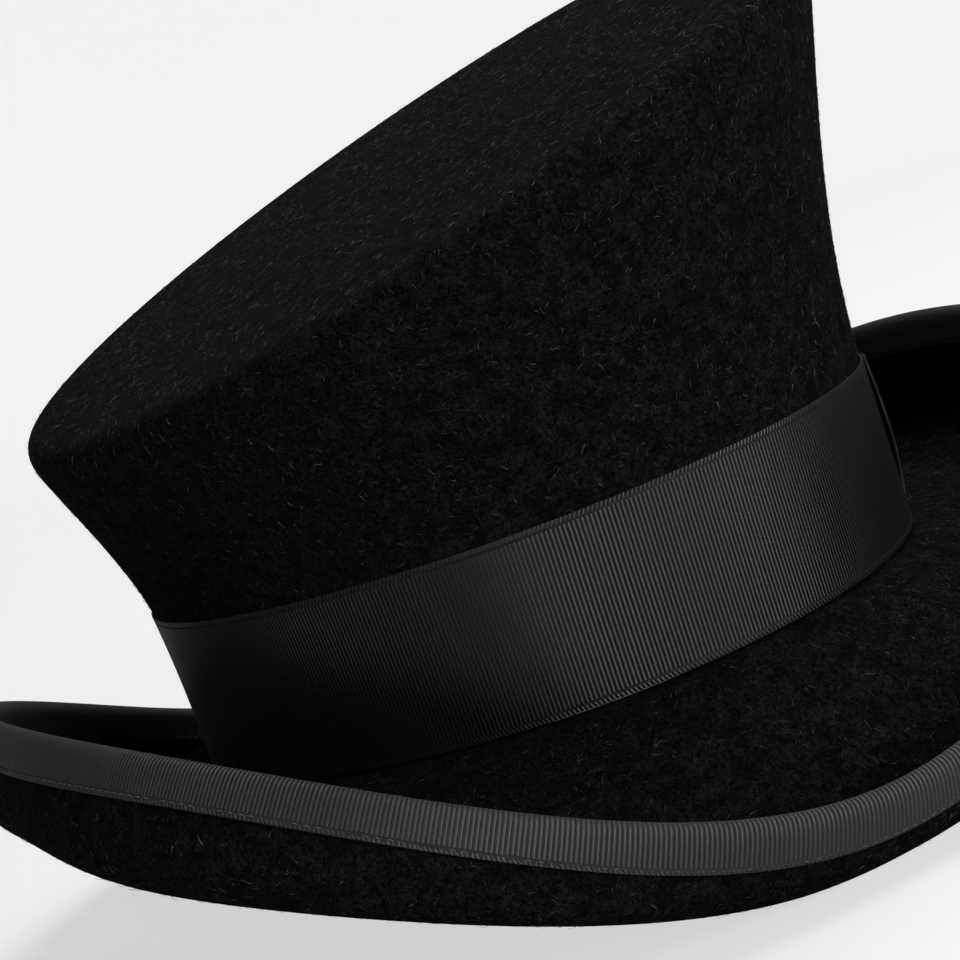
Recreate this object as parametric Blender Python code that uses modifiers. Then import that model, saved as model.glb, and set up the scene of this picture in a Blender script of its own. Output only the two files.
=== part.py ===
"""A black felt top hat that stands on its own brim.

The crown is a hollow bell of felt with a flat, slanting tip. Under it lies the brim, whose sides
curl up high while its front and back dip to the surface it stands on. A ribbed ribbon goes round
the foot of the crown, a flat bow with a keeper sits on it at the wearer's left, and a folded ribbon
binds the brim's edge.

Units are metres, +Z up. The wearer faces -Y, so the wearer's left side is +X. Every piece is made
in the hat's own frame, where the foot of the crown is a level oval at height zero. One empty then
settles the whole hat on the surface z = 0.
"""
import math

import bmesh
import bpy
import numpy as np
from mathutils import Matrix

# Head opening, measured inside the felt at the foot of the crown: a 57 cm head
HEAD_LENGTH = 0.197
HEAD_WIDTH = 0.163

# Materials and clearances
FELT = 0.0025
RIBBON = 0.001
GAP = 0.0003

# Crown
CROWN_HEIGHT = 0.1148
TIP_SIDE_RISE = 0.295
TIP_BACK_RISE = 0.051
TIP_OVERHANG = 0.0184
TIP_SHIFT = -0.0103
TIP_DOME = 0.0020
SHOULDER = 0.0072

# The hollow wall, from the foot to the tip, as shares of its height and of the tip's overhang.
# Lean is how fast the flare grows there.
WALL_PROFILE = (
    {"height": 0.0, "flare": 0.00, "lean": 0.00},
    {"height": 1 / 3, "flare": 0.031, "lean": 0.24},
    {"height": 2 / 3, "flare": 0.391, "lean": 1.70},
    {"height": 1.0, "flare": 1.00, "lean": 1.73},
)

# Brim: how far it stands out from the foot of the crown, and how far its edge rises or drops
BRIM_LEDGE_SIDE = 0.0470
BRIM_LEDGE_FRONT = 0.0407
BRIM_SQUARENESS = 2.262
BRIM_SIDE_LIFT = 0.0325
BRIM_FRONT_DROP = 0.0280
BRIM_BACK_DROP = 0.0203

# Sections of the brim, front to back. Lift is a share of the side lift, drop a share of the front
# or back drop. Slope is how steeply the felt leaves the crown, curl how steeply it ends. Root and
# roll are shares of the way from the crown to the edge: how long the slope and the curl hold.
BRIM_SECTIONS = (
    {"place": "front", "lift": 0.0, "drop": 1.0, "slope": 53.5, "curl": 65.0, "root": 0.585, "roll": 0.82},
    {"place": "front side", "lift": 0.34, "drop": 0.0, "slope": 24.0, "curl": 126.0, "root": 0.555, "roll": 0.88},
    {"place": "side", "lift": 1.0, "drop": 0.0, "slope": 9.5, "curl": 114.0, "root": 0.605, "roll": 0.60},
    {"place": "back side", "lift": 0.47, "drop": 0.0, "slope": 24.0, "curl": 126.0, "root": 0.555, "roll": 0.88},
    {"place": "back", "lift": 0.0, "drop": 1.0, "slope": 53.5, "curl": 65.0, "root": 0.585, "roll": 0.82},
)

# How far the brim's felt is bent flat where it rests, and how much of its thickness is squeezed
REST_FLAT = 0.0010
REST_SQUEEZE = 0.0002

# Ribbons
BAND_WIDTH = 0.0385
BINDING_WIDTH = 0.0100
BOW_LENGTH = 0.0960
BOW_OPEN = 0.0016
BOW_PINCH = 0.0130
BOW_MARGIN = 0.0017
KEEPER_WIDTH = 0.0140

# Fineness of the meshes; a radian of bend takes as many of the brim's rows as this length of felt
AROUND = 72
WALL_ROWS = 5
SHOULDER_ROWS = 4
TIP_RINGS = (0.66, 0.33)
CURVE_STEPS = 48
BRIM_ROWS = 10
BEND_LENGTH = 0.030
BAND_ROWS = 2
BINDING_ROWS = 2
FOLD_STEPS = 3
BOW_STEPS = 14
BOW_ROWS = 2

FOOT_X = HEAD_WIDTH / 2 + FELT
FOOT_Y = HEAD_LENGTH / 2 + FELT
BAND_OUTSIDE = GAP + RIBBON
BINDING_COVER = BINDING_WIDTH - FELT / 2 - GAP - RIBBON
ANGLES = np.arange(AROUND) * 2 * math.pi / AROUND


def clear_scene():
    """Empty the file of objects, and give the hat a collection of its own."""
    for thing in list(bpy.data.objects):
        bpy.data.objects.remove(thing, do_unlink=True)
    collection = bpy.data.collections.new("top_hat")
    bpy.context.scene.collection.children.link(collection)
    return collection


def material(name, colour, roughness):
    """A plain finish with one colour and one roughness."""
    finish = bpy.data.materials.new(name)
    finish.use_nodes = True
    shader = finish.node_tree.nodes["Principled BSDF"]
    shader.inputs["Base Color"].default_value = (*colour, 1.0)
    shader.inputs["Roughness"].default_value = roughness
    shader.inputs["Metallic"].default_value = 0.0
    return finish


def flare_share(height_share):
    """The smooth curve through the rows of the wall profile."""
    share = np.asarray(height_share, dtype=float)
    total = np.zeros_like(share)
    for low, high in zip(WALL_PROFILE, WALL_PROFILE[1:]):
        span = high["height"] - low["height"]
        t = (share - low["height"]) / span
        curve = (2 * t ** 3 - 3 * t ** 2 + 1) * low["flare"] + (t ** 3 - 2 * t ** 2 + t) * span * low["lean"]
        curve += (3 * t ** 2 - 2 * t ** 3) * high["flare"] + (t ** 3 - t ** 2) * span * high["lean"]
        total = np.where(share > low["height"], curve, total)
    return total


def tip_height(x, y):
    """Height of the slanting tip above a point of the head opening."""
    return CROWN_HEIGHT + TIP_SIDE_RISE * x + TIP_BACK_RISE * y


def wall_points(angles, height_share, outside=0.0):
    """Points on the crown's outer face at one height share, or that far outside it."""
    across, along = np.cos(angles), np.sin(angles)
    top = tip_height((FOOT_X + TIP_OVERHANG) * across, (FOOT_Y + TIP_OVERHANG) * along + TIP_SHIFT)
    flare = TIP_OVERHANG * flare_share(height_share) + outside
    x = (FOOT_X + flare) * across
    y = (FOOT_Y + flare) * along + TIP_SHIFT * height_share
    return np.stack([x, y, top * height_share], axis=-1)


def wall_points_at(angles, height, outside=0.0):
    """Points on the crown's outer face at one height in metres, or that far outside it."""
    across, along = np.cos(angles), np.sin(angles)
    top = tip_height((FOOT_X + TIP_OVERHANG) * across, (FOOT_Y + TIP_OVERHANG) * along + TIP_SHIFT)
    return wall_points(angles, height / top, outside)


def crown_rings():
    """Rings of the crown's outer face, from the foot up the wall, round the shoulder and in."""
    corner = wall_points(ANGLES, 1.0)
    shoulder_start = 1.0 - SHOULDER / corner[:, 2]
    band_top = (GAP + BAND_WIDTH) / corner[:, 2]
    rings = [wall_points(ANGLES, band_top * row / BAND_ROWS) for row in range(BAND_ROWS)]
    for row in range(WALL_ROWS + 1):
        rings.append(wall_points(ANGLES, band_top + (shoulder_start - band_top) * row / WALL_ROWS))
    wall_end = rings[-1]
    centre = np.array([0.0, TIP_SHIFT, tip_height(0.0, TIP_SHIFT)])
    inward = centre - corner
    shoulder_end = corner + inward * (SHOULDER / np.linalg.norm(inward, axis=1))[:, None]
    for step in range(1, SHOULDER_ROWS + 1):
        t = step / SHOULDER_ROWS
        rings.append((1 - t) ** 2 * wall_end + 2 * t * (1 - t) * corner + t ** 2 * shoulder_end)
    for share in TIP_RINGS:
        ring = centre + (shoulder_end - centre) * share
        ring[:, 2] += TIP_DOME * (1 - share ** 2)
        rings.append(ring)
    return rings, centre + np.array([0.0, 0.0, TIP_DOME])


def round_series(values, angles):
    """A smooth curve round the hat through five values, from the front to the back, alike on both sides."""
    steps = np.arange(len(values)) * math.pi / (len(values) - 1)
    waves = np.arange(len(values))
    weights = np.linalg.solve(np.cos(np.outer(steps, waves)), np.array(values, dtype=float))
    return np.cos(np.outer(angles + math.pi / 2, waves)) @ weights


def section_values(column):
    """One column of the brim's sections, carried round the hat."""
    return round_series([row[column] for row in BRIM_SECTIONS], ANGLES)


def brim_middle():
    """The middle surface of the brim's felt, from inside the head opening out to the edge."""
    floor_of_crown = -GAP - FELT / 2
    across, along = np.cos(ANGLES), np.sin(ANGLES)
    level = np.full(AROUND, floor_of_crown)
    inner = np.stack([HEAD_WIDTH / 2 * across, HEAD_LENGTH / 2 * along, level], axis=1)
    start = wall_points(ANGLES, 0.0, BAND_OUTSIDE)
    start[:, 2] = floor_of_crown

    drops = {"front": BRIM_FRONT_DROP, "back": BRIM_BACK_DROP}
    heights = []
    for row in BRIM_SECTIONS:
        heights.append(row["lift"] * BRIM_SIDE_LIFT - row["drop"] * drops.get(row["place"], 0.0))
    square = (np.abs(across) ** BRIM_SQUARENESS + np.abs(along) ** BRIM_SQUARENESS) ** (-1 / BRIM_SQUARENESS)
    edge = np.stack([
        (FOOT_X + BRIM_LEDGE_SIDE) * across * square,
        (FOOT_Y + BRIM_LEDGE_FRONT) * along * square,
        round_series(heights, ANGLES),
    ], axis=1)

    way = edge - start
    level = way * np.array([1.0, 1.0, 0.0])
    outward = level / np.linalg.norm(level, axis=1)[:, None]
    up = np.array([0.0, 0.0, 1.0])
    reach = np.linalg.norm(way, axis=1)[:, None]
    slope = np.radians(section_values("slope"))[:, None]
    curl = np.radians(section_values("curl"))[:, None]
    root = section_values("root")[:, None] * reach
    roll = section_values("roll")[:, None] * reach
    leave = start + root * (np.cos(slope) * outward - np.sin(slope) * up)
    arrive = edge - roll * (np.cos(curl) * outward + np.sin(curl) * up)

    rings = []
    for step in range(CURVE_STEPS + 1):
        t = step / CURVE_STEPS
        near_crown = (1 - t) ** 3 * start + 3 * t * (1 - t) ** 2 * leave
        rings.append(near_crown + 3 * t ** 2 * (1 - t) * arrive + t ** 3 * edge)
    curve = np.stack(rings)

    steps = np.diff(curve, axis=0)
    lengths = np.linalg.norm(steps, axis=2)
    directions = steps / lengths[:, :, None]
    bends = np.arccos(np.clip((directions[1:] * directions[:-1]).sum(axis=2), -1.0, 1.0))
    runs = np.concatenate([np.zeros((1, AROUND)), lengths.cumsum(axis=0)])
    turns = np.concatenate([np.zeros((2, AROUND)), bends.cumsum(axis=0)])
    effort = runs + BEND_LENGTH * turns
    middle = np.empty((BRIM_ROWS + BINDING_ROWS + 1, AROUND, 3))
    for station in range(AROUND):
        run = runs[:, station]
        bound_from = run[-1] - BINDING_COVER
        free_effort = np.linspace(0.0, np.interp(bound_from, run, effort[:, station]), BRIM_ROWS + 1)
        free = np.interp(free_effort, effort[:, station], run)
        places = np.concatenate([free, np.linspace(bound_from, run[-1], BINDING_ROWS + 1)[1:]])
        for k in range(3):
            middle[:, station, k] = np.interp(places, run, curve[:, station, k])
    return np.concatenate([inner[None], middle])


def upper_normals(grid):
    """Unit normals of a surface given as rings, on the side that faces up near the crown."""
    round_way = np.roll(grid, -1, axis=1) - np.roll(grid, 1, axis=1)
    out_way = np.gradient(grid, axis=0)
    normal = np.cross(out_way, round_way)
    return normal / np.linalg.norm(normal, axis=2)[:, :, None]


def settle(middle):
    """The turn and lift that set the brim's lowest points, front and back, on the surface."""
    under = middle - upper_normals(middle) * FELT / 2
    tilt = 0.0
    for _ in range(3):
        turned = under @ np.array(Matrix.Rotation(tilt, 3, "X")).T
        points = turned.reshape(-1, 3)
        front = points[points[:, 1] < 0.0]
        back = points[points[:, 1] > 0.0]
        low_front = front[front[:, 2].argmin()]
        low_back = back[back[:, 2].argmin()]
        tilt -= math.atan2(low_back[2] - low_front[2], low_back[1] - low_front[1])
    lowest = (under @ np.array(Matrix.Rotation(tilt, 3, "X")).T)[:, :, 2].min()
    return Matrix.Translation((0.0, 0.0, -lowest - REST_FLAT)) @ Matrix.Rotation(tilt, 4, "X")


def press(middle, rest):
    """The brim's middle surface, raised where its underside would pass through the surface."""
    turn = np.array(rest.to_3x3())
    under = (middle - upper_normals(middle) * FELT / 2) @ turn.T
    sunk = np.minimum(under[:, :, 2] + rest.translation.z + REST_SQUEEZE, 0.0)
    return middle - sunk[:, :, None] * turn[2]


def surface_object(name, rings, centre=None):
    """A mesh object from rings of points; the last ring may close on a centre."""
    shape = bmesh.new()
    rows = [[shape.verts.new(point) for point in ring] for ring in rings]
    for low, high in zip(rows, rows[1:]):
        for i in range(len(low)):
            j = (i + 1) % len(low)
            shape.faces.new((low[i], low[j], high[j], high[i]))
    if centre is not None:
        top = shape.verts.new(centre)
        last = rows[-1]
        for i in range(len(last)):
            shape.faces.new((last[i], last[(i + 1) % len(last)], top))
    mesh = bpy.data.meshes.new(name)
    shape.to_mesh(mesh)
    shape.free()
    return bpy.data.objects.new(name, mesh)


def thicken(thing, thickness, offset):
    """Give an open surface its wall: offset -1 is inward, 0 is both ways."""
    wall = thing.modifiers.new("wall", "SOLIDIFY")
    wall.thickness = thickness
    wall.offset = offset
    wall.use_even_offset = True
    wall.use_quality_normals = True


def make_crown():
    """The felt bell: a hollow wall, a soft shoulder and a slanting tip, open at the foot."""
    rings, centre = crown_rings()
    crown = surface_object("crown", rings, centre=centre)
    thicken(crown, FELT, -1.0)
    return crown


def make_brim(middle, rest):
    """The felt brim, pressed flat where it stands."""
    brim = surface_object("brim", middle[::-1])
    thicken(brim, FELT, 0.0)
    bpy.context.scene.collection.objects.link(brim)
    solid = bpy.data.meshes.new_from_object(brim.evaluated_get(bpy.context.evaluated_depsgraph_get()))
    bpy.context.scene.collection.objects.unlink(brim)
    brim.modifiers.clear()
    brim.data = solid
    solid.name = "brim"
    back_to_hat = rest.inverted()
    for vertex in solid.vertices:
        place = rest @ vertex.co
        if place.z < 0.0:
            place.z = 0.0
            vertex.co = back_to_hat @ place
    return brim


def make_hatband():
    """The ribbon round the foot of the crown."""
    rings = [wall_points_at(ANGLES, GAP + BAND_WIDTH * row / BAND_ROWS, GAP) for row in range(BAND_ROWS + 1)]
    band = surface_object("hatband", rings)
    thicken(band, RIBBON, 1.0)
    return band


def make_brim_binding(middle):
    """The ribbon folded over the brim's edge, with one flat side on each face of the felt."""
    normals = upper_normals(middle)
    edge, edge_normal = middle[-1], normals[-1]
    outward = middle[-1] - middle[-2]
    outward = outward - (outward * edge_normal).sum(axis=1)[:, None] * edge_normal
    outward = outward / np.linalg.norm(outward, axis=1)[:, None]
    stand_off = FELT / 2 + GAP

    def side(direction):
        """Rings down one face of the felt, from the fold to the ribbon's edge."""
        rows = range(-2, -2 - BINDING_ROWS, -1)
        return [middle[row] + normals[row] * stand_off * direction for row in rows]

    fold = []
    for step in range(FOLD_STEPS + 1):
        turn = math.pi * step / FOLD_STEPS
        fold.append(edge + stand_off * (math.cos(turn) * edge_normal + math.sin(turn) * outward))
    binding = surface_object("brim_binding", side(-1.0)[::-1] + fold[::-1] + side(1.0))
    thicken(binding, RIBBON, 1.0)
    return binding


def bow_stand_off(place):
    """How far the bow's inner layer stands off the hatband: it steps over the keeper's back."""
    step = (RIBBON + GAP) * math.exp(-(max(0.0, abs(place) - KEEPER_WIDTH / 2) / (BOW_PINCH / 3)) ** 2)
    return GAP + RIBBON / 2 + step


def bow_layers(place):
    """How far apart the middles of the bow's two layers are, pinched at the keeper."""
    free = max(0.0, abs(place) - KEEPER_WIDTH / 2)
    return RIBBON + GAP + BOW_OPEN * (1 - math.exp(-(free / BOW_PINCH) ** 2))


def side_angle(place):
    """Where on the oval a point lies that is this far behind the middle of the wearer's left."""
    return math.asin(place / (FOOT_Y + BAND_OUTSIDE))


def on_band(place, height, stand_off):
    """A point on the wearer's left: how far behind the middle, how high, how far off the hatband."""
    return wall_points_at(np.array([side_angle(place)]), height, BAND_OUTSIDE + stand_off)[0]


def band_ring(path, height):
    """A closed path of places and stand-offs, laid on the hatband at one height."""
    return np.array([on_band(place, height, stand_off) for place, stand_off in path])


def make_bow():
    """A flat loop of ribbon along the hatband, folded at both ends."""
    half = BOW_LENGTH / 2
    radius = bow_layers(half) / 2
    straight = half - radius - RIBBON / 2
    middle = bow_stand_off(straight) + radius
    places = [straight * (2 * i / BOW_STEPS - 1) for i in range(BOW_STEPS + 1)]
    turns = [math.pi * step / FOLD_STEPS for step in range(1, FOLD_STEPS)]
    path = [(place, bow_stand_off(place)) for place in places]
    path += [(straight + radius * math.sin(turn), middle - radius * math.cos(turn)) for turn in turns]
    path += [(place, bow_stand_off(place) + bow_layers(place)) for place in reversed(places)]
    path += [(-straight - radius * math.sin(turn), middle + radius * math.cos(turn)) for turn in turns]

    low = GAP + BOW_MARGIN
    rows = [low + (BAND_WIDTH - 2 * BOW_MARGIN) * row / BOW_ROWS for row in range(BOW_ROWS + 1)]
    bow = surface_object("bow", [band_ring(path, height) for height in rows])
    thicken(bow, RIBBON, 0.0)
    return bow


def make_bow_keeper():
    """The narrow ribbon that goes right round the middle of the bow."""
    low = BOW_MARGIN - RIBBON / 2
    high = BAND_WIDTH - BOW_MARGIN + 2 * GAP + RIBBON / 2
    near = GAP + RIBBON / 2
    far = bow_stand_off(0.0) + bow_layers(0.0) + RIBBON + GAP
    path = [(low, near), (high, near), (high, far), (low, far)]
    steps = (4, 1, 4, 1)
    loop = []
    for (start, count), end in zip(zip(path, steps), path[1:] + path[:1]):
        for i in range(count):
            share = i / count
            loop.append((start[0] + (end[0] - start[0]) * share, start[1] + (end[1] - start[1]) * share))

    places = (-KEEPER_WIDTH / 2, 0.0, KEEPER_WIDTH / 2)
    rings = [np.array([on_band(place, height, stand_off) for height, stand_off in loop]) for place in places]
    keeper = surface_object("bow_keeper", rings)
    thicken(keeper, RIBBON, 0.0)
    return keeper


def centre_on_origin(stand, pieces):
    """Slide the settled hat so that the middle of its bounds is over the origin."""
    bpy.context.view_layer.update()
    graph = bpy.context.evaluated_depsgraph_get()
    places = []
    for piece in pieces:
        places += [piece.matrix_world @ vertex.co for vertex in piece.evaluated_get(graph).data.vertices]
    for axis in (0, 1):
        values = [place[axis] for place in places]
        stand.location[axis] -= (min(values) + max(values)) / 2


def build():
    """Make every piece, give it its finish, and hang it on the empty that settles the hat."""
    collection = clear_scene()
    felt = material("black felt", (0.012, 0.012, 0.013), 0.95)
    ribbon = material("black ribbed ribbon", (0.030, 0.030, 0.032), 0.55)
    middle = brim_middle()
    rest = settle(middle)
    middle = press(middle, rest)
    stand = bpy.data.objects.new("hat_frame", None)
    stand.matrix_world = rest
    collection.objects.link(stand)
    pieces = (
        (make_crown(), felt),
        (make_brim(middle, rest), felt),
        (make_hatband(), ribbon),
        (make_bow(), ribbon),
        (make_bow_keeper(), ribbon),
        (make_brim_binding(middle), ribbon),
    )
    for piece, finish in pieces:
        piece.data.materials.clear()
        piece.data.materials.append(finish)
        piece.data.shade_smooth()
        piece.data.set_sharp_from_angle(angle=math.radians(40.0))
        collection.objects.link(piece)
        piece.parent = stand
    centre_on_origin(stand, [piece for piece, finish in pieces])


build()
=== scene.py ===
# %% [markdown]
# # A black felt top hat
# The hat is a hollow bell of felt with a slanting tip, a felt brim that curls up at the sides, and
# ribbed ribbon for the hatband, the bow, the bow's keeper and the binding of the brim's edge.
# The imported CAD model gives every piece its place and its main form. Its solids are coarse, because
# a physics engine has to read them, so each soft piece here starts as a copy of its solid, is made
# finer, and gets what the solids leave out: the nap of the felt, the ribs of the ribbon, stitches.

# %% Load the CAD model
import math

import bpy
import numpy as np
from mathutils import Matrix, Vector
from mathutils.bvhtree import BVHTree
from mathutils.kdtree import KDTree


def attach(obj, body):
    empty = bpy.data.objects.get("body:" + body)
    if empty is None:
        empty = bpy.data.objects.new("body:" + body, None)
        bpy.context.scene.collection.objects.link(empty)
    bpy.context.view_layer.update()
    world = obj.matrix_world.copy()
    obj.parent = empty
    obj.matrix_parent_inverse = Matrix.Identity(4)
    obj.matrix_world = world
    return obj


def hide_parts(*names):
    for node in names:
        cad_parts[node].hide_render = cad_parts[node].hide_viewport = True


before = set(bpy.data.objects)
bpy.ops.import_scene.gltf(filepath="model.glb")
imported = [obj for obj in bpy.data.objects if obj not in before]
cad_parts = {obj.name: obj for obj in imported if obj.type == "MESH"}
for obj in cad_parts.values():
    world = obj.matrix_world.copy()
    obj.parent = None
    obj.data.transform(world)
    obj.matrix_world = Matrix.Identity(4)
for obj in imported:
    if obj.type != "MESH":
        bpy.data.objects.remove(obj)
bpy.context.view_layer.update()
print("CAD nodes:", ", ".join(sorted(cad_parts)))

# %% [markdown]
# ## The camera
# The photograph is a close view from a little above the brim, seen past the wearer's right
# cheek, with the camera rolled so that the hat tips down to the left. A lens of about 87 mm at half
# a metre gives the same perspective. Three unit vectors say where the camera's right, up and back
# point, and they are the columns of its rotation.

# %% Camera
CAMERA_PLACE = Vector((-0.20335, -0.50834, 0.15249))
CAMERA_RIGHT = Vector((0.85596, -0.38612, -0.34387))
CAMERA_BACK = Vector((-0.36228, -0.92239, 0.13396))
LENS = 87.27

camera_data = bpy.data.cameras.new("camera")
camera_data.lens = LENS
camera_data.sensor_width = 36.0
camera_data.clip_start = 0.01
camera = bpy.data.objects.new("camera", camera_data)
bpy.context.scene.collection.objects.link(camera)
camera_up = CAMERA_BACK.cross(CAMERA_RIGHT).normalized()
turn = Matrix((CAMERA_RIGHT, camera_up, CAMERA_BACK)).transposed()
camera.matrix_world = Matrix.Translation(CAMERA_PLACE) @ turn.to_4x4()
bpy.context.scene.camera = camera
print("camera at", [round(value, 3) for value in CAMERA_PLACE], "lens", LENS)

# %% [markdown]
# ## Helpers for modelling
# An operator works on whatever is selected, so every step first clears the selection and then
# makes one piece active. A copy of a CAD node comes in as loose triangles. Merging its doubles joins
# them, and turning pairs of triangles back into four-sided faces lets a subdivision surface follow
# the form smoothly.

# %% Selecting and copying
def deselect_all():
    if bpy.context.mode != "OBJECT":
        bpy.ops.object.mode_set(mode="OBJECT")
    bpy.ops.object.select_all(action="DESELECT")


def make_active(piece):
    deselect_all()
    piece.select_set(True)
    bpy.context.view_layer.objects.active = piece


def copy_of_node(node, name):
    """A new piece that starts as a merged copy of a CAD node, and takes its place: the node is hidden."""
    piece = bpy.data.objects.new(name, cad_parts[node].data.copy())
    piece.data.name = name
    piece.data.materials.clear()
    bpy.context.scene.collection.objects.link(piece)
    make_active(piece)
    bpy.ops.mesh.customdata_custom_splitnormals_clear()
    bpy.ops.object.mode_set(mode="EDIT")
    bpy.ops.mesh.select_all(action="SELECT")
    bpy.ops.mesh.remove_doubles(threshold=1e-5)
    bpy.ops.mesh.tris_convert_to_quads(face_threshold=math.radians(70), shape_threshold=math.radians(70))
    bpy.ops.object.mode_set(mode="OBJECT")
    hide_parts(node)
    faces = [len(face.vertices) for face in piece.data.polygons]
    print(name, "copied:", faces.count(4), "quads,", faces.count(3), "triangles")
    return piece


def apply_modifier(piece, kind, name, **settings):
    """Add one modifier, set it, and apply it at once."""
    make_active(piece)
    step = piece.modifiers.new(name, kind)
    for key, value in settings.items():
        setattr(step, key, value)
    bpy.ops.object.modifier_apply(modifier=name)


def places_of(piece):
    """The piece's vertices as rows of an array."""
    places = np.empty(len(piece.data.vertices) * 3)
    piece.data.vertices.foreach_get("co", places)
    return places.reshape(-1, 3)


# %% [markdown]
# ## Soft edges
# Cut felt and folded ribbon have no knife edges. The rims are the only places in these solids where
# two faces meet near a right angle, so they can be selected by that angle, and a small bevel rounds
# them. The bevel's new edges also hold the form when the subdivision surface smooths the rest.

# %% Bevel the rims, then subdivide
def round_rims(piece, width, segments=2, sharpness=75):
    make_active(piece)
    bpy.ops.object.mode_set(mode="EDIT")
    bpy.ops.mesh.select_mode(type="EDGE")
    bpy.ops.mesh.select_all(action="DESELECT")
    bpy.ops.mesh.edges_select_sharp(sharpness=math.radians(sharpness))
    bpy.ops.mesh.bevel(offset=width, segments=segments, profile=0.5, affect="EDGES", clamp_overlap=True)
    bpy.ops.object.mode_set(mode="OBJECT")


def smooth_over(piece, levels):
    apply_modifier(piece, "SUBSURF", "finer", levels=levels, render_levels=levels, uv_smooth="NONE")
    piece.data.shade_smooth()
    print(piece.name, "has", sum(len(face.vertices) - 2 for face in piece.data.polygons), "triangles")


# %% [markdown]
# ## Felt: crown and brim
# The crown was blocked over a wooden form and the brim was pressed and curled with steam, so both
# are one even wall of felt. Their copies only need smoothing.

# %% Crown and brim
FELT_RIM = 0.0008

felt_crown = copy_of_node("crown", "felt_crown")
round_rims(felt_crown, FELT_RIM)
smooth_over(felt_crown, 2)

felt_brim = copy_of_node("brim", "felt_brim")
round_rims(felt_brim, FELT_RIM)
smooth_over(felt_brim, 2)

# %% [markdown]
# ## Ribbon
# Grosgrain ribbon has stiff ribs across its width. For a pattern that follows the ribbon, each
# piece gets a UV map measured in metres: U runs along the ribbon, and V is the distance from its
# nearest edge. The hat's foot is an oval that was turned and lifted a little when the hat was set
# down, so points are first taken back into the hat's own frame.

# %% The hat's own frame
HAT_TILT = math.radians(-1.678)
HAT_LIFT = 0.03840
HAT_SHIFT = 0.00073
FOOT_X = 0.0840
FOOT_Y = 0.1010
CROWN_HEIGHT = 0.1148
CROWN_LEAN = -0.0103
EDGE_X = 0.1310
EDGE_Y = 0.1417

hat_frame = Matrix.Translation((0.0, HAT_SHIFT, HAT_LIFT)) @ Matrix.Rotation(HAT_TILT, 4, "X")
into_hat = np.array(hat_frame.inverted())


def in_hat(places):
    return places @ into_hat[:3, :3].T + into_hat[:3, 3]


def oval_length(angles, across, along):
    """Distance round an oval, from angle zero to each of the given angles."""
    fine = np.linspace(-math.pi, math.pi, 3601)
    steps = np.hypot(across * np.diff(np.cos(fine)), along * np.diff(np.sin(fine)))
    lengths = np.concatenate([[0.0], steps.cumsum()])
    return np.interp(angles, fine, lengths) - np.interp(0.0, fine, lengths)


foot_round = 2 * oval_length(math.pi, FOOT_X, FOOT_Y)
print("round the foot of the crown:", round(foot_round, 4), "m")


# %% A UV map in metres
def rim_points(piece, sharpness=75, steps=8):
    """Points set closely along the ribbon's cut edges, found by their near right angles."""
    make_active(piece)
    bpy.ops.object.mode_set(mode="EDIT")
    bpy.ops.mesh.select_mode(type="EDGE")
    bpy.ops.mesh.select_all(action="DESELECT")
    bpy.ops.mesh.edges_select_sharp(sharpness=math.radians(sharpness))
    bpy.ops.object.mode_set(mode="OBJECT")
    places = places_of(piece)
    ends = np.array([edge.vertices[:] for edge in piece.data.edges if edge.select])
    shares = (np.arange(steps) / steps)[:, None, None]
    return ((1 - shares) * places[ends[:, 0]] + shares * places[ends[:, 1]]).reshape(-1, 3)


def distance_to(places, targets):
    """The distance from each place to the nearest of the targets."""
    tree = KDTree(len(targets))
    for index, place in enumerate(targets):
        tree.insert(place, index)
    tree.balance()
    return np.array([tree.find(place)[2] for place in places])


def lay_ribbon_map(piece, along, rims, length=None):
    """Write U, the place along the ribbon, and V, the distance from its nearest edge."""
    across = distance_to(places_of(piece), rims)
    layer = piece.data.uv_layers.new(name="ribbon")
    for face in piece.data.polygons:
        values = along[list(face.vertices)]
        if length and values.max() - values.min() > length / 2:
            values = np.where(values < values.max() - length / 2, values + length, values)
        for loop, value in zip(face.loop_indices, values):
            layer.data[loop].uv = (value, across[piece.data.loops[loop].vertex_index])
    print(piece.name, "map runs", round(float(along.max() - along.min()), 3), "m")


def stand_off(piece, carrier):
    """For each vertex: the nearest place on the carrier, its normal, and the distance from it."""
    surface = BVHTree.FromObject(carrier, bpy.context.evaluated_depsgraph_get())
    found = [surface.find_nearest(Vector(place)) for place in places_of(piece)]
    near = np.array([hit[0][:] for hit in found])
    normal = np.array([hit[1][:] for hit in found])
    return near, normal, np.array([hit[3] for hit in found])[:, None]


def move_to(piece, places):
    piece.data.vertices.foreach_set("co", np.asarray(places).ravel())
    piece.data.update()


# %% [markdown]
# ## Hatband, bow and keeper
# The hatband lies on the foot of the crown, so U is the distance round that oval. The bow is a flat
# loop of the same ribbon at the wearer's left, and its ribs stand upright too, so U follows it front
# to back. The keeper wraps round the middle of the bow, so its ribs lie level and U is its height.
# A solid ribbon has to be a millimetre thick. The real one is half of that, so once the pieces are
# smooth the trim is pressed closer to the felt. The map is laid last, on the fine mesh.

# %% Hatband
RIBBON_RIM = 0.00025
BAND_PRESS = 0.55
BAND_WIDTH = 0.0385

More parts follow.
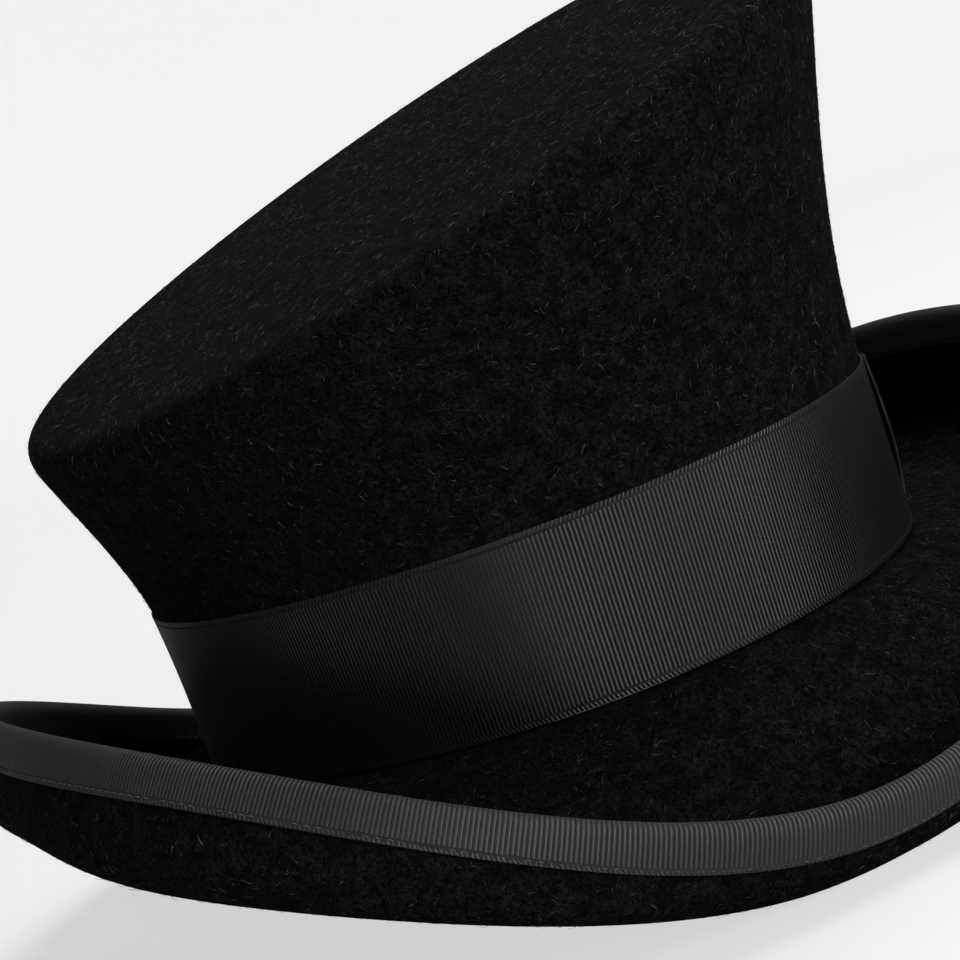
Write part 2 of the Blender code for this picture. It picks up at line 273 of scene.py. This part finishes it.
band_ribbon = copy_of_node("hatband", "band_ribbon")
band_rims = rim_points(band_ribbon)
round_rims(band_ribbon, RIBBON_RIM)
smooth_over(band_ribbon, 2)
local = in_hat(places_of(band_ribbon))
turns = np.arctan2((local[:, 1] - CROWN_LEAN * local[:, 2] / CROWN_HEIGHT) / FOOT_Y, local[:, 0] / FOOT_X)
lay_ribbon_map(band_ribbon, oval_length(turns, FOOT_X, FOOT_Y), band_rims, foot_round)
near, normal, stand = stand_off(band_ribbon, felt_crown)
up_the_band = np.clip((local[:, 2:3] - local[:, 2].min()) / BAND_WIDTH, 0.0, 1.0)
move_to(band_ribbon, near + normal * stand * (1.0 - (1.0 - BAND_PRESS) * up_the_band))

# %% [markdown]
# The bow's loop is pinched under the keeper. At its ends it lies nearly flat, and between its top
# and bottom corners it bulges a little off the hatband, because the hatband curves and the stiff
# ribbon doesn't follow it.

# %% Bow and keeper
RIBBON_SINK = 0.0006
BOW_INNER = 0.0016
BOW_FLAT = 0.34
BOW_BULGE = 0.0016
BOW_FREE = (0.012, 0.042)

bow_ribbon = copy_of_node("bow", "bow_ribbon")
bow_rims = rim_points(bow_ribbon)
round_rims(bow_ribbon, RIBBON_RIM)
smooth_over(bow_ribbon, 2)
lay_ribbon_map(bow_ribbon, places_of(bow_ribbon)[:, 1].copy(), bow_rims)
near, normal, stand = stand_off(bow_ribbon, felt_crown)
loose = np.clip((np.abs(places_of(bow_ribbon)[:, 1:2]) - BOW_FREE[0]) / (BOW_FREE[1] - BOW_FREE[0]), 0.0, 1.0)
inset = distance_to(places_of(bow_ribbon), band_rims)[:, None] / (BAND_WIDTH / 2)
dome = np.sin(math.pi / 2 * np.clip(inset, 0.0, 1.0))
free_stand = BOW_INNER - RIBBON_SINK + (stand - BOW_INNER) * BOW_FLAT + BOW_BULGE * dome
move_to(bow_ribbon, near + normal * ((1 - loose) * (stand - RIBBON_SINK) + loose * free_stand))

keeper_ribbon = copy_of_node("bow_keeper", "keeper_ribbon")
keeper_rims = rim_points(keeper_ribbon)
round_rims(keeper_ribbon, RIBBON_RIM)
smooth_over(keeper_ribbon, 2)
lay_ribbon_map(keeper_ribbon, places_of(keeper_ribbon)[:, 2].copy(), keeper_rims)
near, normal, stand = stand_off(keeper_ribbon, felt_crown)
move_to(keeper_ribbon, near + normal * (stand - RIBBON_SINK))

# %% [markdown]
# ## Binding
# The binding is the same ribbon, narrower, folded over the brim's edge. The solid has a section
# every five degrees. A place between two sections gets its U from how far it lies past the plane of
# the one and before the plane of the other, so the ribs run straight over the fold.

# %% Binding
SECTIONS = 72

binding_ribbon = copy_of_node("brim_binding", "binding_ribbon")


def edge_section(places):
    """The nearest section of the brim's edge, as a whole number that may be negative."""
    local = in_hat(places)
    turns = np.arctan2(local[:, 1] / EDGE_Y, local[:, 0] / EDGE_X)
    return np.round(turns / (2 * math.pi / SECTIONS)).astype(int)


places = places_of(binding_ribbon)
section = edge_section(places) % SECTIONS
section_middle = np.array([places[section == k].mean(axis=0) for k in range(SECTIONS)])
section_run = np.roll(section_middle, -1, axis=0) - np.roll(section_middle, 1, axis=0)
section_run /= np.linalg.norm(section_run, axis=1)[:, None]
section_steps = np.linalg.norm(np.roll(section_middle, -1, axis=0) - section_middle, axis=1)
section_at = np.concatenate([[0.0], section_steps.cumsum()])
edge_round = section_at[-1]
print("round the brim's edge:", round(float(edge_round), 4), "m;",
      "vertices per section", np.unique(np.bincount(section)))


def past_section(places, section):
    """How far each place lies past the plane of its section."""
    return ((places - section_middle[section]) * section_run[section]).sum(axis=1)


def along_edge(places):
    """The distance round the brim's edge, from the planes of the sections on both sides."""
    nearest = edge_section(places)
    before = np.where(past_section(places, nearest % SECTIONS) < 0, nearest - 1, nearest) % SECTIONS
    after = (before + 1) % SECTIONS
    past, ahead = past_section(places, before), -past_section(places, after)
    return section_at[before] + section_steps[before] * np.clip(past / (past + ahead), 0.0, 1.0)


# %% Where the binding's free edges run
binding_rims = rim_points(binding_ribbon)
rim_section = edge_section(binding_rims) % SECTIONS
outer_rim, inner_rim = [], []
for k in range(SECTIONS):
    ends = binding_rims[rim_section == k]
    ends = ends[np.abs(past_section(ends, np.full(len(ends), k))) < 0.0008]
    level = Vector((section_middle[k][0], section_middle[k][1], 0.0)).normalized()
    order = ends @ np.array(level - Vector((0.0, 0.0, 1.0)))
    outer_rim.append(ends[order.argmax()])
    inner_rim.append(ends[order.argmin()])
outer_rim, inner_rim = np.array(outer_rim), np.array(inner_rim)
round_rims(binding_ribbon, RIBBON_RIM)
smooth_over(binding_ribbon, 2)
lay_ribbon_map(binding_ribbon, along_edge(places_of(binding_ribbon)), binding_rims, edge_round)

# %% [markdown]
# ## Stitches
# A sewing machine holds the binding on with a row of small stitches near its free edge, on both
# faces of the brim. One stitch is modelled from a sphere that is stretched along the thread, and
# copies of it are set round the brim at an even spacing, each turned along the edge and half sunk
# in the ribbon.

# %% One stitch
STITCH_SPACING = 0.0022
STITCH_LENGTH = 0.0014
THREAD = 0.00036
STITCH_INSET = 0.0011

deselect_all()
bpy.ops.mesh.primitive_uv_sphere_add(segments=6, ring_count=6, radius=0.5)
stitch = bpy.context.active_object
stitch.name = "stitch"
stitch.scale = (STITCH_LENGTH, THREAD, THREAD)
bpy.ops.object.transform_apply(scale=True)
print("one stitch has", len(stitch.data.polygons), "faces")


# %% Set the stitches round the brim
def sew(rim, name):
    """Copies of the stitch along a free edge of the binding, joined into one piece."""
    surface = BVHTree.FromObject(binding_ribbon, bpy.context.evaluated_depsgraph_get())
    inward = section_middle - rim
    inward /= np.linalg.norm(inward, axis=1)[:, None]
    line = rim + inward * STITCH_INSET
    count = int(edge_round / STITCH_SPACING)
    shares = (np.arange(count) + 0.5) * edge_round / count
    closed = np.concatenate([line, line[:1]])
    path = np.stack([np.interp(shares, section_at, closed[:, k]) for k in range(3)], axis=1)
    ahead = np.roll(path, -1, axis=0) - np.roll(path, 1, axis=0)
    copies = []
    for place, direction in zip(path, ahead):
        near, normal, _, _ = surface.find_nearest(Vector(place))
        run = Vector(direction).normalized()
        run = (run - normal * run.dot(normal)).normalized()
        side = normal.cross(run)
        turned = Matrix((run, side, normal)).transposed().to_4x4()
        one = bpy.data.objects.new(name, stitch.data.copy())
        one.data.transform(Matrix.Translation(near) @ turned)
        bpy.context.scene.collection.objects.link(one)
        copies.append(one)
    deselect_all()
    for one in copies:
        one.select_set(True)
    bpy.context.view_layer.objects.active = copies[0]
    bpy.ops.object.join()
    row = bpy.context.active_object
    row.name = row.data.name = name
    row.data.shade_smooth()
    print(name, "has", len(copies), "stitches")
    return row


outer_stitches = sew(outer_rim, "outer_stitches")
inner_stitches = sew(inner_rim, "inner_stitches")
bpy.data.objects.remove(stitch)

# %% [markdown]
# ## The nap
# Felt is matted fibre, and short loose ends stand off its face. A bump map alone leaves the outline
# too clean, so thousands of fine fibres are set on the felt. Each is a narrow strip in three steps
# that rises a little, bends over and thins to its tip. The seed is fixed, so every run grows
# the same nap.

# %% Fibres
FIBRE_WIDTH = 0.00009


def grow_nap(felt, name, count, longest, allowed, seed):
    """Fine curved strips on the felt wherever allowed(places, normals) is true."""
    chance = np.random.default_rng(seed)
    mesh = felt.data
    mesh.calc_loop_triangles()
    corners = np.empty(len(mesh.loop_triangles) * 3, dtype=int)
    mesh.loop_triangles.foreach_get("vertices", corners)
    triangles = places_of(felt)[corners.reshape(-1, 3)]
    cross = np.cross(triangles[:, 1] - triangles[:, 0], triangles[:, 2] - triangles[:, 0])
    double = np.linalg.norm(cross, axis=1)
    normals = cross / np.maximum(double, 1e-12)[:, None]
    share = np.where(allowed(triangles.mean(axis=1), normals), double, 0.0)
    picked = chance.choice(len(triangles), size=count, p=share / share.sum())
    a, b = chance.random(count), chance.random(count)
    a, b = np.where(a + b > 1, 1 - a, a), np.where(a + b > 1, 1 - b, b)
    base = triangles[picked, 0]
    base = base + a[:, None] * (triangles[picked, 1] - base) + b[:, None] * (triangles[picked, 2] - base)
    normal = normals[picked]
    run = np.cross(normal, chance.normal(size=(count, 3)))
    run /= np.linalg.norm(run, axis=1)[:, None]
    side = np.cross(normal, run)
    length = longest * (0.25 + 0.75 * chance.random(count) ** 2)[:, None]
    rise = (0.10 + 0.45 * chance.random(count) ** 2)[:, None]
    sway = chance.normal(0.0, 0.35, count)[:, None]
    roll = chance.uniform(0.0, math.pi, count)[:, None]
    width = (np.cos(roll) * side + np.sin(roll) * normal) * FIBRE_WIDTH / 2
    rows = []
    for t in (0.0, 0.35, 0.7, 1.0):
        middle = base + length * (run * t + normal * rise * (t - 0.45 * t * t) + side * sway * t * t)
        thin = width * (1.0 - 0.75 * t)
        rows += [middle - thin, middle + thin]
    points = np.stack(rows, axis=1).reshape(-1, 3)
    strip = np.array([[0, 1, 3, 2], [2, 3, 5, 4], [4, 5, 7, 6]])
    faces = (strip[None] + 8 * np.arange(count)[:, None, None]).reshape(-1, 4)
    nap_mesh = bpy.data.meshes.new(name)
    nap_mesh.from_pydata(points.tolist(), [], faces.tolist())
    tone = nap_mesh.attributes.new("tone", "FLOAT", "POINT")
    tone.data.foreach_set("value", np.repeat(chance.random(count) ** 3, 8).astype(np.float32))
    nap = bpy.data.objects.new(name, nap_mesh)
    bpy.context.scene.collection.objects.link(nap)
    print(name, "has", count, "fibres")
    return nap


# %% Nap on the crown and on the brim
ribbon_places = np.concatenate([places_of(piece) for piece in (band_ribbon, bow_ribbon, binding_ribbon)])
crown_places = places_of(felt_crown)
NAP_CLEARANCE = 0.0020


def on_crown(places, normals):
    """The crown's outer face above the hatband."""
    local = in_hat(places)
    outward = np.stack([local[:, 0], local[:, 1], np.maximum(local[:, 2] - 0.09, 0.0) * 2], axis=1)
    free = distance_to(places, ribbon_places) > NAP_CLEARANCE
    return ((outward * normals).sum(axis=1) > 0.0) & free & (local[:, 2] > 0.03)


def on_brim(places, normals):
    """Both faces of the brim, clear of its binding and of the crown."""
    free = distance_to(places, ribbon_places) > NAP_CLEARANCE
    return free & (distance_to(places, crown_places) > 0.004)


crown_nap = grow_nap(felt_crown, "crown_nap", 30000, 0.0021, on_crown, 11)
brim_nap = grow_nap(felt_brim, "brim_nap", 30000, 0.0021, on_brim, 12)

# %% [markdown]
# ## Helpers for materials
# A material is a small graph. These helpers add one node and wire its inputs in a single line, so
# that each finish below reads from top to bottom like a recipe.

# %% Node helpers
def new_finish(name):
    """A material with one Principled shader."""
    finish = bpy.data.materials.new(name)
    finish.use_nodes = True
    return finish, finish.node_tree, finish.node_tree.nodes["Principled BSDF"]


def add(tree, kind, inputs=(), **settings):
    """One node: its settings, then its inputs, each a number, a colour or another node's socket."""
    step = tree.nodes.new(kind)
    for key, value in settings.items():
        setattr(step, key, value)
    for key, value in dict(inputs).items():
        if isinstance(value, bpy.types.NodeSocket):
            tree.links.new(value, step.inputs[key])
        else:
            step.inputs[key].default_value = value
    return step


def maths(tree, operation, *values):
    return add(tree, "ShaderNodeMath", dict(enumerate(values)), operation=operation).outputs[0]


def fade(tree, value, low, high, start=0.0, end=1.0):
    """A smooth step from start to end while value goes from low to high."""
    inputs = {"Value": value, "From Min": low, "From Max": high, "To Min": start, "To Max": end}
    return add(tree, "ShaderNodeMapRange", inputs, interpolation_type="SMOOTHSTEP").outputs["Result"]


def mix(tree, share, first, second):
    """A colour between two others."""
    step = add(tree, "ShaderNodeMix", data_type="RGBA")
    for index, value in ((0, share), (6, first), (7, second)):
        if isinstance(value, bpy.types.NodeSocket):
            tree.links.new(value, step.inputs[index])
        else:
            step.inputs[index].default_value = value
    return step.outputs[2]


def noise(tree, place, scale, detail=2.0, roughness=0.5, distortion=0.0):
    inputs = {"Vector": place, "Scale": scale, "Detail": detail, "Roughness": roughness}
    inputs["Distortion"] = distortion
    return add(tree, "ShaderNodeTexNoise", inputs).outputs["Fac"]


def object_place(tree):
    return add(tree, "ShaderNodeTexCoord").outputs["Object"]


def bump(tree, height, distance, strength=1.0, normal=None):
    inputs = {"Height": height, "Distance": distance, "Strength": strength}
    if normal:
        inputs["Normal"] = normal
    return add(tree, "ShaderNodeBump", inputs).outputs["Normal"]


# %% [markdown]
# ## Felt
# Black felt is dull and deep, with a soft glow where the nap is seen edge on. The Sheen of the
# Principled shader gives that glow. Noise at three scales makes the mottled depth of the nap: clumps
# of about 3 mm, tufts of a millimetre, and single fibres.

# %% Felt material
FELT_DARK = (0.0012, 0.0012, 0.0013, 1.0)
FELT_LIGHT = (0.0240, 0.0240, 0.0250, 1.0)

felt_finish, tree, skin = new_finish("black_napped_felt")
place = object_place(tree)
clumps = noise(tree, place, 260.0, 3.0, 0.6)
tufts = noise(tree, place, 1100.0, 3.0, 0.65, 0.6)
fibres = noise(tree, place, 2800.0, 3.0, 0.6, 2.0)
depth = maths(tree, "ADD", maths(tree, "MULTIPLY", tufts, 0.4), maths(tree, "MULTIPLY", fibres, 0.6))
shade = maths(tree, "MULTIPLY", fade(tree, depth, 0.40, 0.64), fade(tree, clumps, 0.35, 0.65, 0.40, 1.0))
tree.links.new(mix(tree, shade, FELT_DARK, FELT_LIGHT), skin.inputs["Base Color"])
coarse = bump(tree, tufts, 0.0007, 0.8)
tree.links.new(bump(tree, fibres, 0.0003, 0.9, coarse), skin.inputs["Normal"])
skin.inputs["Roughness"].default_value = 0.95
skin.inputs["Specular IOR Level"].default_value = 0.02
skin.inputs["Sheen Weight"].default_value = 0.006
skin.inputs["Sheen Roughness"].default_value = 0.40
skin.inputs["Sheen Tint"].default_value = (0.60, 0.60, 0.62, 1.0)

# %% Fibre material
fibre_finish, tree, skin = new_finish("black_felt_fibres")
tone = add(tree, "ShaderNodeAttribute", attribute_name="tone").outputs["Fac"]
tree.links.new(mix(tree, tone, (0.006, 0.006, 0.0065, 1.0), (0.15, 0.15, 0.155, 1.0)), skin.inputs["Base Color"])
skin.inputs["Roughness"].default_value = 0.6
skin.inputs["Specular IOR Level"].default_value = 0.3

# %% [markdown]
# ## Ribbed ribbon
# U divided by the rib's pitch counts the ribs. The sine of that count is the rounded height of each
# rib, and the dark line between two ribs comes from the same wave: the colour darkens where the rib
# is low, painted shade in the valleys. Fine threads cross each rib, and a woven edge about a
# millimetre wide, with its own slanted loops and a groove beside it, runs along both sides of the
# ribbon; the groove is darkened with the same painted shade. The cross threads also stretch every
# highlight up and down the rib, which is what the shader's Anisotropic value is for. The binding has
# two details of its own: dimples where the needle went in, darkened with painted shade, and a seam
# near the wearer's right, where the ribbon's end laps over its start, with a painted highlight along it.

# %% Ribbon material
RIB_PITCH = 0.00093
RIB_HEIGHT = 0.00015
CROSS_THREAD = 0.00018
SELVEDGE = 0.0012
HOLE_RADIUS = 0.00034


def wave(tree, value, pitch):
    """Rounded humps with sharp valleys, from 0 to 1, one for each pitch."""
    return maths(tree, "ABSOLUTE", maths(tree, "SINE", maths(tree, "MULTIPLY", value, math.pi / pitch)))


def needle_holes(tree, along, across, spacing):
    """0 in the dimples between the stitches, and 1 elsewhere."""
    share = maths(tree, "FRACT", maths(tree, "ADD", maths(tree, "DIVIDE", along, spacing), 0.5))
    beside = maths(tree, "MULTIPLY", maths(tree, "SUBTRACT", share, 0.5), spacing)
    above = maths(tree, "SUBTRACT", across, STITCH_INSET)
    square = maths(tree, "ADD", maths(tree, "MULTIPLY", beside, beside), maths(tree, "MULTIPLY", above, above))
    return fade(tree, maths(tree, "SQRT", square), HOLE_RADIUS * 0.6, HOLE_RADIUS * 1.3)


def ribbon_finish(name, dark, light, rough, stitch_spacing=None, seam=None):
    finish, tree, skin = new_finish(name)
    where = add(tree, "ShaderNodeSeparateXYZ", {0: add(tree, "ShaderNodeUVMap", uv_map="ribbon").outputs[0]})
    along, across = where.outputs[0], where.outputs[1]
    place = object_place(tree)
    rib = wave(tree, along, RIB_PITCH)
    number = maths(tree, "FLOOR", maths(tree, "DIVIDE", along, RIB_PITCH))
    uneven = add(tree, "ShaderNodeTexWhiteNoise", {"W": number}, noise_dimensions="1D").outputs["Value"]
    stagger = maths(tree, "MULTIPLY", number, CROSS_THREAD / 2)
    threads = wave(tree, maths(tree, "ADD", across, stagger), CROSS_THREAD)
    loops = wave(tree, maths(tree, "ADD", along, maths(tree, "MULTIPLY", across, 0.5)), RIB_PITCH)
    edge = fade(tree, across, SELVEDGE * 0.9, SELVEDGE, 1.0, 0.0)
    off_groove = maths(tree, "ABSOLUTE", maths(tree, "SUBTRACT", across, SELVEDGE * 1.1))
    groove = fade(tree, off_groove, 0.00012, 0.00034, 0.0, 1.0)
    woven = maths(tree, "ADD", maths(tree, "MULTIPLY", rib, 0.90), maths(tree, "MULTIPLY", threads, 0.10))
    height = add(tree, "ShaderNodeMix", {0: edge, 2: woven, 3: loops}, data_type="FLOAT").outputs[0]
    height = maths(tree, "MULTIPLY", height, groove)
    if stitch_spacing:
        height = maths(tree, "MULTIPLY", height, needle_holes(tree, along, across, stitch_spacing))
    # Painted sheen: a slow noise lays broad patches over the ribbon where its colour is darker by up to a quarter.
    painted_sheen = noise(tree, place, 45.0, 3.0, 0.6)
    grain = noise(tree, place, 3200.0, 2.0)
    # The colour follows the rib height, so the valleys between ribs, the selvedge groove and the needle dimples are
    # darkened with painted shade; each rib also gets a random tone of its own, and a fine grain.
    shade = maths(tree, "MULTIPLY", fade(tree, height, 0.15, 0.90), fade(tree, uneven, 0.0, 1.0, 0.70, 1.0))
    shade = maths(tree, "MULTIPLY", shade, fade(tree, painted_sheen, 0.3, 0.7, 0.75, 1.0))
    shade = maths(tree, "MULTIPLY", shade, fade(tree, grain, 0.35, 0.65, 0.35, 1.0))
    # Along the seam a pale line is painted into the colour, a painted highlight on the lapped edge, and the height
    # rises into a ridge.
    if seam:
        off_seam = maths(tree, "ABSOLUTE", maths(tree, "SUBTRACT", along, seam))
        shade = maths(tree, "ADD", shade, fade(tree, off_seam, 0.0002, 0.0005, 0.5, 0.0))
        height = maths(tree, "ADD", height, fade(tree, off_seam, 0.0002, 0.0006, 1.0, 0.0))
    tree.links.new(mix(tree, shade, dark, light), skin.inputs["Base Color"])
    tree.links.new(fade(tree, height, 0.10, 0.55, 0.90, rough), skin.inputs["Roughness"])
    tangent = add(tree, "ShaderNodeTangent", direction_type="UV_MAP", uv_map="ribbon").outputs["Tangent"]
    tree.links.new(tangent, skin.inputs["Tangent"])
    skin.inputs["Anisotropic"].default_value = 0.75
    skin.inputs["Anisotropic Rotation"].default_value = 0.25
    tree.links.new(bump(tree, height, RIB_HEIGHT, 1.0), skin.inputs["Normal"])
    skin.inputs["Specular IOR Level"].default_value = 0.75
    skin.inputs["Sheen Weight"].default_value = 0.01
    skin.inputs["Sheen Roughness"].default_value = 0.4
    return finish


BINDING_SEAM = 0.486
BAND_DARK = (0.0006, 0.0006, 0.0007, 1.0)
BAND_LIGHT = (0.0075, 0.0075, 0.0080, 1.0)
# The binding is the same ribbon as the hatband, but its colours are lighter: a painted highlight from the front.
BINDING_DARK_WITH_PAINTED_HIGHLIGHT = (0.0090, 0.0090, 0.0098, 1.0)
BINDING_LIGHT_WITH_PAINTED_HIGHLIGHT = (0.0300, 0.0306, 0.0330, 1.0)
even_spacing = edge_round / int(edge_round / STITCH_SPACING)
band_finish = ribbon_finish("black_ribbed_ribbon", BAND_DARK, BAND_LIGHT, 0.42)
binding_finish = ribbon_finish("black_ribbed_binding_painted_lighter", BINDING_DARK_WITH_PAINTED_HIGHLIGHT, BINDING_LIGHT_WITH_PAINTED_HIGHLIGHT, 0.50, even_spacing, BINDING_SEAM)

# %% Thread material
thread_finish, tree, skin = new_finish("black_sewing_thread")
strands = noise(tree, object_place(tree), 5200.0, 2.0)
tree.links.new(mix(tree, strands, (0.02, 0.02, 0.022, 1.0), (0.10, 0.10, 0.105, 1.0)), skin.inputs["Base Color"])
skin.inputs["Roughness"].default_value = 0.5

# %% Dress the pieces
for piece, finish, slot in (
    (felt_crown, felt_finish, "black_felt"),
    (felt_brim, felt_finish, "black_felt"),
    (crown_nap, fibre_finish, "black_felt"),
    (brim_nap, fibre_finish, "black_felt"),
    (band_ribbon, band_finish, "black_ribbed_ribbon"),
    (bow_ribbon, band_finish, "black_ribbed_ribbon"),
    (keeper_ribbon, band_finish, "black_ribbed_ribbon"),
    (binding_ribbon, binding_finish, "black_ribbed_ribbon"),
    (outer_stitches, thread_finish, "black_ribbed_ribbon"),
    (inner_stitches, thread_finish, "black_ribbed_ribbon"),
):
    piece.data.materials.clear()
    piece.data.materials.append(finish)
    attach(piece, "root")

# %% [markdown]
# ## Studio
# The hat stands on a pale floor that curves up into a pale wall on all sides, so no corner or
# horizon shows. It is a disc whose rim is extruded up in steps. The wall gives a little light of its
# own, as paper does when it is lit from behind, and keeps the background even.

# %% Floor and backdrop
FLOOR_RADIUS = 1.5
WALL_STEPS = 8
WALL_ROUNDING = 0.6
WALL_HEIGHT = 2.6

deselect_all()
bpy.ops.mesh.primitive_circle_add(vertices=96, radius=FLOOR_RADIUS, fill_type="NGON")
studio = bpy.context.active_object
studio.name = "studio"
bpy.ops.object.mode_set(mode="EDIT")
bpy.ops.mesh.select_all(action="DESELECT")
bpy.ops.mesh.select_mode(type="EDGE")
bpy.ops.mesh.select_all(action="SELECT")
bpy.ops.mesh.region_to_loop()
radius, height = FLOOR_RADIUS, 0.0
for step in range(1, WALL_STEPS + 1):
    angle = math.pi / 2 * step / WALL_STEPS
    next_radius = FLOOR_RADIUS + WALL_ROUNDING * math.sin(angle)
    next_height = WALL_ROUNDING * (1 - math.cos(angle))
    bpy.ops.mesh.extrude_edges_move(TRANSFORM_OT_translate={"value": (0.0, 0.0, next_height - height)})
    bpy.ops.transform.resize(value=(next_radius / radius, next_radius / radius, 1.0))
    radius, height = next_radius, next_height
bpy.ops.mesh.extrude_edges_move(TRANSFORM_OT_translate={"value": (0.0, 0.0, WALL_HEIGHT - height)})
bpy.ops.object.mode_set(mode="OBJECT")
studio.data.shade_smooth()

# %% Paper
# Only what the camera sees directly gets the extra glow, so the wall doesn't light the hat.
PAPER_GLOW_NEAR = 0.62
PAPER_GLOW_FAR = 0.76

studio_finish, tree, skin = new_finish("pale_paper")
place = object_place(tree)
speckle = noise(tree, place, 300.0, 2.0)
tree.links.new(mix(tree, speckle, (0.38, 0.38, 0.38, 1.0), (0.40, 0.40, 0.40, 1.0)), skin.inputs["Base Color"])
skin.inputs["Roughness"].default_value = 0.9
skin.inputs["Emission Color"].default_value = (1.0, 1.0, 1.0, 1.0)
far = add(tree, "ShaderNodeVectorMath", {0: place}, operation="LENGTH").outputs["Value"]
glow = fade(tree, far, 0.3, 1.8, PAPER_GLOW_NEAR, PAPER_GLOW_FAR)
seen = add(tree, "ShaderNodeLightPath").outputs["Is Camera Ray"]
tree.links.new(maths(tree, "MULTIPLY", glow, seen), skin.inputs["Emission Strength"])
studio.data.materials.append(studio_finish)

# %% [markdown]
# ## Light
# Large soft lights suit felt and ribbon: a broad key in front and to the right makes the
# long sheen on the hatband, a weaker light from the left lifts the dark side, and one from above
# grazes the tip.

# %% Lights
LIGHTS = (
    {"name": "key", "turn": 13.0, "rise": 10.0, "away": 1.30,
     "width": 0.6, "height": 1.0, "watts": 12.0},
    {"name": "left", "turn": -70.0, "rise": 0.0, "away": 1.30,
     "width": 0.5, "height": 0.5, "watts": 2.2},
    {"name": "top", "turn": 105.0, "rise": 70.0, "away": 1.40,
     "width": 0.9, "height": 0.9, "watts": 15.0},
)
HAT_MIDDLE = Vector((0.0, 0.0, 0.08))

for row in LIGHTS:
    lamp = bpy.data.lights.new(row["name"], "AREA")
    lamp.shape = "RECTANGLE"
    lamp.size, lamp.size_y = row["width"], row["height"]
    lamp.energy = row["watts"]
    light = bpy.data.objects.new(row["name"], lamp)
    turn, rise = math.radians(row["turn"]), math.radians(row["rise"])
    out = Vector((math.sin(turn) * math.cos(rise), -math.cos(turn) * math.cos(rise), math.sin(rise)))
    light.location = HAT_MIDDLE + out * row["away"]
    light.rotation_euler = (HAT_MIDDLE - light.location).to_track_quat("-Z", "Y").to_euler()
    light.visible_camera = False
    bpy.context.scene.collection.objects.link(light)

world = bpy.data.worlds.new("studio_air")
world.use_nodes = True
world.node_tree.nodes["Background"].inputs["Color"].default_value = (1.0, 1.0, 1.0, 1.0)
world.node_tree.nodes["Background"].inputs["Strength"].default_value = 0.012
bpy.context.scene.world = world
bpy.context.scene.view_settings.view_transform = "Standard"

# %% Finish
deselect_all()
